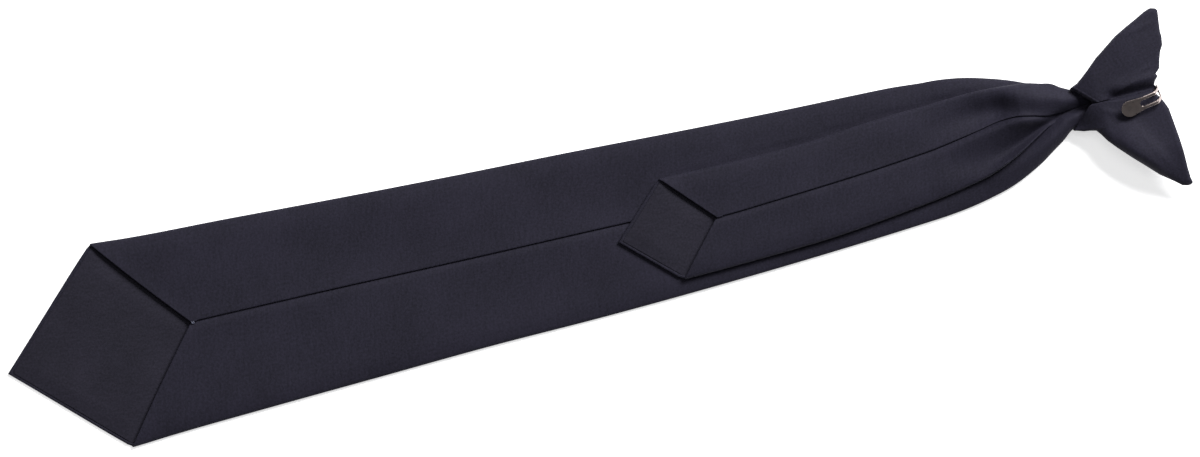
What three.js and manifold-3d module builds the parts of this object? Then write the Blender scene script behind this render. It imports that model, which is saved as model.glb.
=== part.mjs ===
// A clip-on necktie lying face down with its back up, as an assembly of folded cloth pieces and a clip.
// Sizes are in millimetres, +Z is up, and +X runs from the wide blade's point to the top of the knot.
import * as THREE from "three";
import { mergeVertices } from "three/addons/utils/BufferGeometryUtils.js";
import manifoldModule from "manifold-3d";

const solids = await manifoldModule();
solids.setup();
const { lerp, smoothstep, degToRad } = THREE.MathUtils;

// Driving sizes
const tieLength = 505;
const bladeWidth = 87.4;
const knotLength = 45.6;
const wingSpan = 76;
const cloth = 1;
const foldOpening = 1.4;
const clearance = 0.3;

// Sizes that follow from them
const bladeLength = tieLength - knotLength;
const bladeThickness = foldOpening + 2 * cloth;
const foldRadius = bladeThickness / 2;
const tippingThickness = foldOpening - 2 * clearance;
const wrapWall = 1.2 * cloth;
const tailBase = bladeThickness + 1.3 * clearance;
const neckLift = wrapWall + clearance;
const stackHeight = tailBase + bladeThickness;

// The gathers, which run into the neck of the knot
const gatherStart = 0.86 * bladeLength;
const gatherPeak = 0.95 * bladeLength;
const gatherDepth = 1.7;
const gatherFolds = 3;
const ridgeShare = 0.6;

// A closed geometry as a solid that can be joined and cut
function toSolid(geometry) {
  const bare = new THREE.BufferGeometry();
  bare.setAttribute("position", geometry.getAttribute("position"));
  bare.setIndex(geometry.index);
  const merged = mergeVertices(bare, 1e-4);
  const mesh = new solids.Mesh({
    numProp: 3,
    vertProperties: merged.attributes.position.array,
    triVerts: new Uint32Array(merged.index.array),
  });
  return new solids.Manifold(mesh);
}

// A finished solid as a geometry for a mesh
function toGeometry(solid) {
  const mesh = solid.getMesh();
  const points = new Float32Array(mesh.vertProperties);
  const geometry = new THREE.BufferGeometry();
  geometry.setAttribute("position", new THREE.BufferAttribute(points, 3));
  geometry.setIndex(new THREE.BufferAttribute(new Uint32Array(mesh.triVerts), 1));
  return geometry;
}

// Closed rings of equal length joined into one closed body. Each end is closed by a ladder of faces
// between the first half of its ring and the second half.
function loft(rings) {
  const count = rings[0].length;
  const last = (rings.length - 1) * count;
  const faces = [];
  for (let ring = 0; ring < rings.length - 1; ring += 1) {
    for (let k = 0; k < count; k += 1) {
      const a = ring * count + k;
      const b = ring * count + ((k + 1) % count);
      faces.push(a, b, a + count, b, b + count, a + count);
    }
  }
  for (let k = 0; k < count / 2 - 1; k += 1) {
    const [a, b, c, d] = [k, k + 1, count - 2 - k, count - 1 - k];
    faces.push(a, c, b, a, d, c);
    faces.push(last + a, last + b, last + c, last + a, last + c, last + d);
  }
  const geometry = new THREE.BufferGeometry().setFromPoints(rings.flat());
  geometry.setIndex(faces);
  return geometry;
}

// An upright prism over an outline of [x, y] corners.
function prism(corners, bottom, top) {
  const shape = new THREE.Shape(corners.map(([x, y]) => new THREE.Vector2(x, y)));
  const geometry = new THREE.ExtrudeGeometry(shape, { depth: top - bottom, bevelEnabled: false });
  geometry.translate(0, 0, bottom);
  return geometry;
}

// The plan's edges and seam at any place along it, between its stations
function rowAt(stations, x) {
  const after = Math.max(1, stations.findIndex((row) => row.x >= x));
  const [a, b] = [stations[after - 1], stations[after]];
  const t = (x - a.x) / (b.x - a.x);
  return { low: lerp(a.low, b.low, t), high: lerp(a.high, b.high, t), seam: lerp(a.seam, b.seam, t) };
}

// A plan's row of shares as sizes
const inMillimetres = ({ along, low, high, seam }) => ({
  x: along * bladeLength,
  low: low * bladeWidth,
  high: high * bladeWidth,
  seam: seam * bladeWidth,
});

// Plan of the wide blade. along is a share of the blade length, and the lower edge, the upper edge
// and the seam are shares of the blade width.
const wideStations = [
  { along: -0.005, low: -0.482, high: 0.518, seam: 0.04 },
  { along: 0.1, low: -0.482, high: 0.518, seam: 0.04 },
  { along: 0.13, low: -0.471, high: 0.506, seam: 0.04 },
  { along: 0.229, low: -0.449, high: 0.483, seam: 0.039 },
  { along: 0.327, low: -0.429, high: 0.458, seam: 0.034 },
  { along: 0.435, low: -0.407, high: 0.434, seam: 0.026 },
  { along: 0.544, low: -0.396, high: 0.414, seam: 0.021 },
  { along: 0.653, low: -0.375, high: 0.39, seam: 0.015 },
  { along: 0.762, low: -0.346, high: 0.371, seam: 0.012 },
  { along: 0.816, low: -0.327, high: 0.364, seam: 0.012 },
  { along: 0.849, low: -0.315, high: 0.358, seam: 0.015 },
  { along: 0.871, low: -0.306, high: 0.349, seam: 0.02 },
  { along: 0.893, low: -0.291, high: 0.342, seam: 0.025 },
  { along: 0.914, low: -0.268, high: 0.324, seam: 0.03 },
  { along: 0.936, low: -0.236, high: 0.293, seam: 0.035 },
  { along: 0.951, low: -0.201, high: 0.267, seam: 0.04 },
  { along: 0.967, low: -0.159, high: 0.233, seam: 0.045 },
  { along: 0.98, low: -0.114, high: 0.2, seam: 0.05 },
  { along: 0.99, low: -0.077, high: 0.171, seam: 0.053 },
  { along: 0.998, low: -0.031, high: 0.144, seam: 0.054 },
  { along: 1.004, low: -0.03, high: 0.136, seam: 0.054 },
  { along: 1.032, low: -0.03, high: 0.136, seam: 0.054 },
].map(inMillimetres);

// Plan of the tail, in the same shares
const tailStations = [
  { along: 0.567, low: -0.312, high: 0.192, seam: -0.056 },
  { along: 0.635, low: -0.309, high: 0.19, seam: -0.055 },
  { along: 0.675, low: -0.302, high: 0.188, seam: -0.052 },
  { along: 0.718, low: -0.293, high: 0.189, seam: -0.041 },
  { along: 0.762, low: -0.28, high: 0.197, seam: -0.027 },
  { along: 0.816, low: -0.251, high: 0.221, seam: -0.007 },
  { along: 0.849, low: -0.229, high: 0.232, seam: 0.009 },
  { along: 0.871, low: -0.213, high: 0.236, seam: 0.021 },
  { along: 0.893, low: -0.192, high: 0.243, seam: 0.039 },
  { along: 0.914, low: -0.167, high: 0.247, seam: 0.059 },
  { along: 0.936, low: -0.125, high: 0.244, seam: 0.081 },
  { along: 0.951, low: -0.084, high: 0.239, seam: 0.082 },
  { along: 0.967, low: -0.035, high: 0.231, seam: 0.065 },
  { along: 0.98, low: 0.002, high: 0.213, seam: 0.055 },
  { along: 0.99, low: 0.012, high: 0.196, seam: 0.06 },
  { along: 0.997, low: 0.008, high: 0.172, seam: 0.062 },
  { along: 1.004, low: 0.006, high: 0.154, seam: 0.063 },
  { along: 1.01, low: 0.006, high: 0.134, seam: 0.063 },
  { along: 1.032, low: 0.006, high: 0.131, seam: 0.063 },
].map(inMillimetres);

// How far the gathers and the neck of the knot lift both blades at a place
function liftAt(x, y) {
  const wide = rowAt(wideStations, x);
  const across = (y - wide.low) / (wide.high - wide.low);
  const wave = 0.5 + 0.5 * Math.cos(2 * Math.PI * gatherFolds * (across - ridgeShare));
  const towardNeck = smoothstep(x, gatherStart, bladeLength);
  const depth = smoothstep(x, gatherStart, gatherPeak) * (1 - 0.9 * smoothstep(x, gatherPeak, bladeLength));
  return neckLift * towardNeck + gatherDepth * depth * wave;
}

// The middle line of the folded cloth at one station, from the seam round the lower fold, under the
// front panel and round the upper fold, back to the seam. Each point has its outward direction.
function foldedLine({ low, high, seam }, flapSteps, panelSteps) {
  const bend = foldRadius - cloth / 2;
  const foldSteps = 4;
  const line = [];
  for (let i = 0; i <= flapSteps; i += 1) {
    const y = lerp(seam - clearance, low + foldRadius, i / flapSteps);
    line.push({ y, z: foldRadius + bend, out: Math.PI / 2 });
  }
  for (let i = 1; i < foldSteps; i += 1) {
    const out = Math.PI * (0.5 + i / foldSteps);
    const y = low + foldRadius + bend * Math.cos(out);
    line.push({ y, z: foldRadius + bend * Math.sin(out), out });
  }
  for (let i = 0; i <= panelSteps; i += 1) {
    const y = lerp(low + foldRadius, high - foldRadius, i / panelSteps);
    line.push({ y, z: foldRadius - bend, out: -Math.PI / 2 });
  }
  for (let i = 1; i < foldSteps; i += 1) {
    const out = Math.PI * (-0.5 + i / foldSteps);
    const y = high - foldRadius + bend * Math.cos(out);
    line.push({ y, z: foldRadius + bend * Math.sin(out), out });
  }
  for (let i = 0; i <= flapSteps; i += 1) {
    const y = lerp(high - foldRadius, seam + clearance, i / flapSteps);
    line.push({ y, z: foldRadius + bend, out: Math.PI / 2 });
  }
  return line;
}

// The folded cloth's section at one station, out along its outer face and back along its inner one
function foldedRing(row, base, flapSteps, panelSteps) {
  const line = foldedLine(row, flapSteps, panelSteps);
  const side = (offset) => line.map(({ y, z, out }) => {
    const across = y + offset * Math.cos(out);
    const height = base + z + offset * Math.sin(out);
    return new THREE.Vector3(row.x, across, height + liftAt(row.x, across));
  });
  return [...side(cloth / 2), ...side(-cloth / 2).reverse()];
}

// A blade with a right-angled point. The front panel is cut to the point, and the flaps are cut back
// along two lines that run from the shoulders to the start of the seam.
function foldedBlade(stations, base, point, flapSteps, panelSteps) {
  const { tip, shoulderLow, shoulderHigh, seamStart } = point;
  const rings = stations.map((row) => foldedRing(row, base, flapSteps, panelSteps));
  const past = 0.25 * bladeWidth;
  const under = base - cloth;
  const over = base + bladeThickness + cloth;
  const before = stations[0].x - past;
  const lowSide = [before, shoulderLow[1] - past];
  const highSide = [before, shoulderHigh[1] + past];
  const beyond = (corner) => [2 * corner[0] - tip[0], 2 * corner[1] - tip[1]];
  const outsideLow = prism([lowSide, beyond(shoulderLow), tip, [before, tip[1]]], under, over);
  const outsideHigh = prism([[before, tip[1]], tip, beyond(shoulderHigh), highSide], under, over);
  const flapCorners = [lowSide, shoulderLow, seamStart, shoulderHigh, highSide];
  const overFlaps = prism(flapCorners, base + foldRadius, over);
  const blade = toSolid(loft(rings))
    .subtract(toSolid(outsideLow))
    .subtract(toSolid(outsideHigh))
    .subtract(toSolid(overFlaps));
  return toGeometry(blade);
}

// The flat panel that backs a point. It stops short of the folds and reaches under the flaps.
function tippingPanel(stations, base, point) {
  const { tip, shoulderLow, shoulderHigh, seamStart } = point;
  const inset = cloth + 2 * clearance;
  const tuck = 0.12 * bladeWidth;
  const back = rowAt(stations, shoulderHigh[0] + tuck);
  const corners = [
    [tip[0] + 1.5 * inset, tip[1]],
    [shoulderLow[0] + 0.4 * inset, shoulderLow[1] + inset],
    [shoulderLow[0] + tuck, back.low + 1.5 * inset],
    [seamStart[0] + tuck, seamStart[1]],
    [shoulderHigh[0] + tuck, back.high - 1.5 * inset],
    [shoulderHigh[0] + 0.4 * inset, shoulderHigh[1] - inset],
  ];
  return prism(corners, base + cloth + clearance, base + cloth + clearance + tippingThickness);
}

// Plan corners of both points
const tailTip = 0.5714 * bladeLength;
const widePoint = {
  tip: [0, 0],
  shoulderLow: [0.5 * bladeWidth, -0.482 * bladeWidth],
  shoulderHigh: [0.526 * bladeWidth, 0.518 * bladeWidth],
  seamStart: [0.915 * bladeWidth, 0.038 * bladeWidth],
};
const tailPoint = {
  tip: [tailTip, -0.063 * bladeWidth],
  shoulderLow: [tailTip + 0.265 * bladeWidth, -0.31 * bladeWidth],
  shoulderHigh: [tailTip + 0.258 * bladeWidth, 0.192 * bladeWidth],
  seamStart: [tailTip + 0.486 * bladeWidth, -0.054 * bladeWidth],
};

// A rounded loop round a chord that runs in the plan from one edge of a piece to the other. It is
// counted round from the first edge, and crown raises the middle of its upper side.
function roundedLoop({ from, to, base, height, crown }, inset, cornerRadius) {
  const start = new THREE.Vector3(from[0], from[1], base + height / 2);
  const end = new THREE.Vector3(to[0], to[1], base + height / 2);
  const middle = start.clone().add(end).multiplyScalar(0.5);
  const across = end.clone().sub(start).normalize();
  const halfWidth = start.distanceTo(end) / 2 - inset;
  const halfHeight = height / 2 - inset;
  const radius = Math.max(0.1 * cornerRadius, Math.min(cornerRadius, 0.497 * height) - inset);
  const cornerSteps = 3;
  const faceSteps = 6;
  const flat = [];
  const corner = (signU, signV, first) => {
    for (let i = 0; i <= cornerSteps; i += 1) {
      const angle = first + (Math.PI / 2) * (i / cornerSteps);
      const u = signU * (halfWidth - radius) + radius * Math.cos(angle);
      const v = signV * (halfHeight - radius) + radius * Math.sin(angle);
      flat.push([u, v]);
    }
  };
  const face = (signV) => {
    for (let i = 1; i < faceSteps; i += 1) {
      flat.push([-signV * lerp(-1, 1, i / faceSteps) * (halfWidth - radius), signV * halfHeight]);
    }
  };
  corner(-1, -1, Math.PI);
  face(-1);
  corner(1, -1, -Math.PI / 2);
  corner(1, 1, 0);
  face(1);
  corner(-1, 1, Math.PI / 2);
  return flat.map(([u, v]) => {
    const raised = v > 0 ? crown * Math.max(0, 1 - (u / halfWidth) ** 2) : 0;
    return middle.clone().addScaledVector(across, u).add(new THREE.Vector3(0, 0, v + raised));
  });
}

// A flattened sleeve of cloth, open at its first station and closed at its last
function sleeve(stations, wall, cornerRadius) {
  const outer = stations.map((station) => roundedLoop(station, 0, cornerRadius));
  const inner = stations.map((station) => roundedLoop(station, wall, cornerRadius));
  const centre = (ring) => {
    const sum = ring.reduce((total, point) => total.add(point), new THREE.Vector3());
    return sum.divideScalar(ring.length);
  };
  const shift = (ring, neighbour, distance) => {
    const step = centre(ring).sub(centre(neighbour)).setZ(0).setLength(distance);
    return ring.map((point) => point.clone().add(step));
  };
  const end = inner.length - 1;
  inner[0] = shift(inner[0], inner[1], wall);
  inner[end] = shift(inner[end], inner[end - 1], -wall);
  return toSolid(loft(outer)).subtract(toSolid(loft(inner)));
}

// The knot's levels: the wrap on the floor, then the wings, then the clip
const wrapHeight = neckLift + stackHeight + 0.1 * gatherDepth + clearance + wrapWall;
const wrapBackHeight = 0.79 * wrapHeight;
const wingBase = wrapHeight + 1.5 * clearance;
const knotMiddle = 0.02 * wingSpan;
const onKnot = (share) => bladeLength + share * knotLength;
const neckLow = wideStations.at(-1).low - clearance - wrapWall;
const neckHigh = wideStations.at(-1).high + clearance + wrapWall;

// Plan and side of the knot wrap. lowAlong and highAlong place a station's two edges in shares of the
// knot length, spread is the share of the way from the neck's width to the wide end's width, and
// baseShare and heightShare are in wrap heights.
const wrapStations = [
  { lowAlong: 0, highAlong: 0.05, spread: 0, baseShare: 0, heightShare: 1 },
  { lowAlong: 0.17, highAlong: 0.2, spread: 0.06, baseShare: 0, heightShare: 1 },
  { lowAlong: 0.34, highAlong: 0.34, spread: 0.3, baseShare: 0, heightShare: 0.98 },
  { lowAlong: 0.5, highAlong: 0.5, spread: 0.66, baseShare: 0, heightShare: 0.84 },
  { lowAlong: 0.66, highAlong: 0.66, spread: 0.92, baseShare: 0, heightShare: 0.79 },
  { lowAlong: 0.75, highAlong: 0.75, spread: 1, baseShare: 0, heightShare: 0.78 },
  { lowAlong: 0.783, highAlong: 0.783, spread: 0.97, baseShare: 0.06, heightShare: 0.66 },
  { lowAlong: 0.797, highAlong: 0.797, spread: 0.91, baseShare: 0.16, heightShare: 0.46 },
].map(({ lowAlong, highAlong, spread, baseShare, heightShare }) => ({
  from: [onKnot(lowAlong), lerp(neckLow, knotMiddle - 0.28 * wingSpan, spread)],
  to: [onKnot(highAlong), lerp(neckHigh, knotMiddle + 0.28 * wingSpan, spread)],
  base: baseShare * wrapHeight,
  height: heightShare * wrapHeight,
  crown: 0,
}));

// The mouth behind the knot, a V whose point is under the meeting of the wings
const mouthPoint = [onKnot(0.25), 0.072 * wingSpan];
const mouthCut = prism(
  [
    [onKnot(-0.2), -0.3 * wingSpan],
    [onKnot(-0.02), -0.12 * wingSpan],
    mouthPoint,
    [onKnot(0.01), 0.24 * wingSpan],
    [onKnot(-0.2), 0.3 * wingSpan],
  ],
  0.45 * wrapHeight,
  1.1 * wrapHeight,
);

const wrap = sleeve(wrapStations, wrapWall, 0.3 * wrapHeight).subtract(toSolid(mouthCut));

// Plan and side of each wing, from the crease between them out to the tip. out is how far a station
// is from the crease in shares of the wing span, left and right are its edges in shares of the knot
// length, and slant is how far its right end is beyond its left one. droopShare is how far it hangs
// below the wing's base, and heightShare and crownShare are its puffed form, in blade thicknesses.
const wingRoot = 0.064 * wingSpan;
const upperStations = [
  { out: 0.0025, slant: -0.012, left: 0.232, right: 0.795, droopShare: 0, heightShare: 0.94, crownShare: 0 },
  { out: 0.06, slant: 0, left: 0.15, right: 0.82, droopShare: 0, heightShare: 0.97, crownShare: 0.1 },
  { out: 0.115, slant: 0, left: 0.052, right: 0.885, droopShare: 0, heightShare: 1, crownShare: 0.3 },
  { out: 0.133, slant: 0, left: 0.12, right: 0.9, droopShare: 0, heightShare: 1, crownShare: 0.35 },
  { out: 0.2, slant: 0, left: 0.256, right: 0.935, droopShare: 0, heightShare: 1, crownShare: 0.4 },
  { out: 0.27, slant: 0, left: 0.39, right: 0.967, droopShare: 0.12, heightShare: 1, crownShare: 0.4 },
  { out: 0.34, slant: 0, left: 0.56, right: 0.98, droopShare: 0.6, heightShare: 0.97, crownShare: 0.3 },
  { out: 0.4, slant: 0, left: 0.76, right: 0.99, droopShare: 1, heightShare: 0.9, crownShare: 0.15 },
  { out: 0.43, slant: 0, left: 0.86, right: 1, droopShare: 1.2, heightShare: 0.85, crownShare: 0.05 },
  { out: 0.444, slant: 0, left: 0.91, right: 0.985, droopShare: 1.3, heightShare: 0.8, crownShare: 0 },
];
const lowerStations = [
  { out: 0.0025, slant: -0.012, left: 0.19, right: 0.795, droopShare: 0, heightShare: 0.94, crownShare: 0 },
  { out: 0.06, slant: 0, left: 0.1, right: 0.812, droopShare: 0, heightShare: 0.94, crownShare: 0 },
  { out: 0.11, slant: 0, left: 0.03, right: 0.88, droopShare: 0, heightShare: 0.94, crownShare: 0.05 },
  { out: 0.14, slant: 0, left: 0.19, right: 0.893, droopShare: 0, heightShare: 1, crownShare: 0.2 },
  { out: 0.21, slant: 0, left: 0.277, right: 0.905, droopShare: 0, heightShare: 1.05, crownShare: 0.5 },
  { out: 0.31, slant: 0, left: 0.42, right: 0.925, droopShare: 0.03, heightShare: 1.05, crownShare: 0.6 },
  { out: 0.4, slant: 0, left: 0.57, right: 0.935, droopShare: 0.6, heightShare: 1, crownShare: 0.5 },
  { out: 0.48, slant: 0, left: 0.74, right: 0.94, droopShare: 1.1, heightShare: 0.9, crownShare: 0.2 },
  { out: 0.536, slant: 0, left: 0.87, right: 0.95, droopShare: 1.4, heightShare: 0.8, crownShare: 0 },
];

// side is 1 for the wing on the +Y side and -1 for the other one. A sleeve runs away from the crease,
// so its stations are counted from the right edge on one side and from the left edge on the other.
function wing(stations, side) {
  const placed = stations.map((station) => {
    const { out, slant, left, right, droopShare, heightShare, crownShare } = station;
    const y = wingRoot + side * out * wingSpan;
    const leftEdge = [onKnot(left), y - (slant * wingSpan) / 2];
    const rightEdge = [onKnot(right), y + (slant * wingSpan) / 2];
    const [from, to] = side > 0 ? [rightEdge, leftEdge] : [leftEdge, rightEdge];
    return {
      from,
      to,
      base: wingBase - droopShare * bladeThickness,
      height: heightShare * bladeThickness,
      crown: crownShare * bladeThickness,
    };
  });
  return toGeometry(sleeve(placed, cloth, foldRadius));
}

// The clip: a strip with a round paddle, a window and two arms. It is bent down over the knot's top
// edge, and a plain tongue runs back under the wings.
const clipSheet = 0.6;
const clipHeading = degToRad(10);
const clipRoll = degToRad(20);
const clipWidth = 7.1;
const clipEndWidth = 5.3;
const clipArm = 1.25;
const clipLength = 15.2;
const paddleLength = 8.2;
const gripGap = 2.4;
const wingTop = wingBase + 0.94 * bladeThickness;
const clipHeight = wingTop + gripGap + (clipWidth / 2) * Math.sin(clipRoll) + clipSheet / 2;
const tongueLevel = (wingBase + wrapBackHeight) / 2;
const bendRun = 2.6;
const bendDrop = 4.3;
const tongueWidth = 3;
const tongueEnd = 7;

// A strip of the clip's sheet that follows [u, w] points, u along the clip and w up from its face
function strip(path, middle, width) {
  const rings = path.map(([u, w], i) => {
    const before = path[Math.max(0, i - 1)];
    const after = path[Math.min(path.length - 1, i + 1)];
    const into = new THREE.Vector2(u - before[0], w - before[1]).normalize();
    const outOf = new THREE.Vector2(after[0] - u, after[1] - w).normalize();
    const along = into.clone().add(outOf).normalize();
    const stretch = clipSheet / 2 / Math.max(0.5, i === 0 ? along.dot(outOf) : along.dot(into));
    const normal = new THREE.Vector2(-along.y, along.x).multiplyScalar(stretch);
    return [
      new THREE.Vector3(u - normal.x, middle - width / 2, w - normal.y),
      new THREE.Vector3(u - normal.x, middle + width / 2, w - normal.y),
      new THREE.Vector3(u + normal.x, middle + width / 2, w + normal.y),
      new THREE.Vector3(u + normal.x, middle - width / 2, w + normal.y),
    ];
  });
  return toSolid(loft(rings));
}

function clipSolid() {
  const paddle = new THREE.Shape();
  const radius = clipWidth / 2;
  paddle.absarc(radius, 0, radius, degToRad(75), degToRad(285), false);
  paddle.lineTo(paddleLength, -clipEndWidth / 2 - 0.1);
  paddle.lineTo(clipLength, -clipEndWidth / 2);
  paddle.lineTo(clipLength, -clipEndWidth / 2 + clipArm);
  paddle.lineTo(paddleLength + 0.5, -clipEndWidth / 2 + clipArm);
  paddle.lineTo(paddleLength + 0.5, clipEndWidth / 2 - clipArm);
  paddle.lineTo(clipLength, clipEndWidth / 2 - clipArm);
  paddle.lineTo(clipLength, clipEndWidth / 2);
  paddle.lineTo(paddleLength, clipEndWidth / 2 + 0.1);
  const stamped = { depth: clipSheet, bevelEnabled: false, curveSegments: 14 };
  const plate = new THREE.ExtrudeGeometry(paddle, stamped);
  plate.translate(0, 0, -clipSheet / 2);
  const endU = clipLength + bendRun;
  const tongueDrop = (tongueLevel - clipHeight) / Math.cos(clipRoll);
  const armPath = [
    [clipLength - 1, 0],
    [clipLength, 0],
    [clipLength + 0.35 * bendRun, -0.28 * bendDrop],
    [endU, -bendDrop],
    [endU + 0.1, 0.8 * tongueDrop],
  ];
  const tonguePath = [
    [endU + 0.1, 0.78 * tongueDrop],
    [endU + 0.1, 0.92 * tongueDrop],
    [endU - 0.7, tongueDrop],
    [tongueEnd, tongueDrop],
  ];
  const barPath = [
    [endU + 0.05, 0.7 * tongueDrop],
    [endU + 0.1, 0.8 * tongueDrop],
  ];
  const armMiddle = (clipEndWidth - clipArm) / 2;
  return toSolid(plate)
    .add(strip(armPath, armMiddle, clipArm))
    .add(strip(armPath, -armMiddle, clipArm))
    .add(strip(barPath, 0, clipEndWidth))
    .add(strip(tonguePath, 0, tongueWidth));
}

// The assembly
const clothColour = 0x2d2b3a;
const parts = new THREE.Group();

function addPiece(name, geometry, colour, roughness, metalness) {
  const material = new THREE.MeshStandardMaterial({ color: colour, roughness, metalness });
  const mesh = new THREE.Mesh(geometry, material);
  mesh.name = name;
  parts.add(mesh);
  return mesh;
}

addPiece("wide_blade", foldedBlade(wideStations, 0, widePoint, 8, 15), clothColour, 0.85, 0);
addPiece("wide_tipping", tippingPanel(wideStations, 0, widePoint), clothColour, 0.85, 0);
addPiece("tail_blade", foldedBlade(tailStations, tailBase, tailPoint, 6, 12), clothColour, 0.85, 0);
addPiece("tail_tipping", tippingPanel(tailStations, tailBase, tailPoint), clothColour, 0.85, 0);
addPiece("knot_wrap", toGeometry(wrap), clothColour, 0.85, 0);
addPiece("wing_upper", wing(upperStations, 1), clothColour, 0.85, 0);
addPiece("wing_lower", wing(lowerStations, -1), clothColour, 0.85, 0);
const clip = addPiece("clip", toGeometry(clipSolid()), 0x9a9290, 0.35, 1);
clip.position.set(onKnot(0.457), -0.0145 * wingSpan, clipHeight);
clip.rotation.set(clipRoll, 0, clipHeading, "ZYX");

// The origin goes to the middle of the floor under the tie.
const box = new THREE.Box3().setFromObject(parts);
parts.position.set(-(box.min.x + box.max.x) / 2, -(box.min.y + box.max.y) / 2, -box.min.z);

const group = new THREE.Group();
group.add(parts);

export default group;
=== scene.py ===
import math

import bmesh
import bpy
import numpy as np
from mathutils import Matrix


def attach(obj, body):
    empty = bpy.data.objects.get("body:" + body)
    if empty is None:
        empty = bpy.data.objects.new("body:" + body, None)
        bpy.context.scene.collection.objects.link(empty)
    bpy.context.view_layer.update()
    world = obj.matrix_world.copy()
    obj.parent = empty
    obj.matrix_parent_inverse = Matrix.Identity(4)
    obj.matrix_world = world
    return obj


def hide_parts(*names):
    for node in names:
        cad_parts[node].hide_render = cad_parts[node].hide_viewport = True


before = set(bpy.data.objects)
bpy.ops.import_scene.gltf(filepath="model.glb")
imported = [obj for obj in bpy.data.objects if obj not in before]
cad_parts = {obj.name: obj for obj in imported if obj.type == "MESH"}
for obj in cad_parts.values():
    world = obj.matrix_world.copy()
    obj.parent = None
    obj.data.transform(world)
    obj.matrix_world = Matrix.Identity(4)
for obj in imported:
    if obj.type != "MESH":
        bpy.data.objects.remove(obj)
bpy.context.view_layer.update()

# The studio. The photograph looks straight down on the back of the tie, which lies on a white table
# at a slant of about 13 degrees, and a long lens keeps its edges straight. Sizes here are in metres.
photo_span = 0.504
photo_slant = math.radians(13.35)
photo_middle = (0.0039, 0.0004)
back_height = 0.005
lens_length = 250
sensor_width = 36
camera_data = bpy.data.cameras.new("camera")
camera_data.lens = lens_length
camera_data.sensor_width = sensor_width
camera_data.clip_end = 50
camera = bpy.data.objects.new("camera", camera_data)
bpy.context.scene.collection.objects.link(camera)
camera.location = (*photo_middle, photo_span * lens_length / sensor_width + back_height)
camera.rotation_euler = (0, 0, -photo_slant)
bpy.context.scene.camera = camera
bpy.context.scene.view_settings.view_transform = "Standard"


def add_node(tree, kind, settings=(), values=(), links=()):
    """Adds a node with its settings, its input values, and the output sockets that feed its inputs."""
    node = tree.nodes.new(kind)
    for name, value in dict(settings).items():
        setattr(node, name, value)
    for name, value in dict(values).items():
        node.inputs[name].default_value = value
    for name, source in dict(links).items():
        tree.links.new(source, node.inputs[name])
    return node


def linear(colour, alpha=1.0):
    """A hex colour of the screen's kind, such as "2d2b38", as the linear colour that the shaders use."""
    parts = [int(colour[i : i + 2], 16) / 255 for i in (0, 2, 4)]
    return (*[c / 12.92 if c <= 0.04045 else ((c + 0.055) / 1.055) ** 2.4 for c in parts], alpha)


def new_material(name):
    """A new material, its node tree and its shader."""
    material = bpy.data.materials.new(name)
    material.use_nodes = True
    tree = material.node_tree
    return material, tree, tree.nodes["Principled BSDF"]


def two_tone(tree, share, first, last):
    """A colour that goes from the first hex colour to the last as the share goes from 0 to 1."""
    ramp = add_node(tree, "ShaderNodeValToRGB", links={"Fac": share})
    ramp.color_ramp.elements[0].color = linear(first)
    ramp.color_ramp.elements[1].color = linear(last)
    return ramp


# The matte white acrylic of a light table, with a faint unevenness. A weak light from below keeps it
# white beside the tie, as in the photograph. It lies a hair lower than the cloth, which rests on it.
floor_side = 12
floor_height = -0.0002
floor_material, tree, shader = new_material("white_acrylic_light_table")
place = add_node(tree, "ShaderNodeTexCoord")
cloud = add_node(
    tree, "ShaderNodeTexNoise", {}, {"Scale": 3, "Detail": 3}, {"Vector": place.outputs["Object"]}
)
tone = two_tone(tree, cloud.outputs["Fac"], "f4f4f4", "f7f7f7")
tree.links.new(tone.outputs["Color"], shader.inputs["Base Color"])
shader.inputs["Roughness"].default_value = 0.8
shader.inputs["Specular IOR Level"].default_value = 0.2
shader.inputs["Emission Color"].default_value = linear("ffffff")
shader.inputs["Emission Strength"].default_value = 0.6
bpy.ops.mesh.primitive_plane_add(size=floor_side, location=(0, 0, floor_height))
floor = bpy.context.object
floor.name = "floor"
floor.data.materials.append(floor_material)

# A low softbox beyond the photograph's upper right corner, a weaker one over the top, a faint fill
# from the left, and a dim room round them
softboxes = [
    {"name": "key", "place": (2.0, 1.75, 2.25), "size": (1.6, 1.3), "power": 205},
    {"name": "top", "place": (0.3, 0.6, 2.6), "size": (1.2, 0.9), "power": 8},
    {"name": "fill", "place": (-1.6, 0.5, 1.3), "size": (1.2, 1.2), "power": 3},
]
for softbox in softboxes:
    light = bpy.data.lights.new(softbox["name"], "AREA")
    light.shape = "RECTANGLE"
    light.size, light.size_y = softbox["size"]
    light.energy = softbox["power"]
    lamp = bpy.data.objects.new(softbox["name"], light)
    bpy.context.scene.collection.objects.link(lamp)
    lamp.location = softbox["place"]
    lamp.rotation_euler = (-lamp.location).to_track_quat("-Z", "Y").to_euler()
    lamp.visible_camera = False
world = bpy.data.worlds.new("studio")
world.use_nodes = True
world.node_tree.nodes["Background"].inputs["Color"].default_value = linear("f2f4f8")
world.node_tree.nodes["Background"].inputs["Strength"].default_value = 0.11
bpy.context.scene.world = world


# The wide blade. The front cloth of the tie, woven polyester cut on the bias, folded over at both
# sides to meet in a seam down the back, and turned in at its right-angled point. It is 3.4 mm thick
# over its interlining, which doesn't show.
mm = 0.001
blade_thickness = 3.4
fold_radius = blade_thickness / 2
cloth_wall = 0.42

# The blades are lifted by the knot under their neck and thrown into three waves before it
gathers_start, gathers_full, knot_mouth = 395, 436, 459
neck_lift = 1.5
gather_height = 1.5
gather_count = 3
gather_phase = 0.53

# At a slanting edge, a width across the cloth is longer by this much when it is measured along the tie
slant_stretch = 1.43

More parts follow.
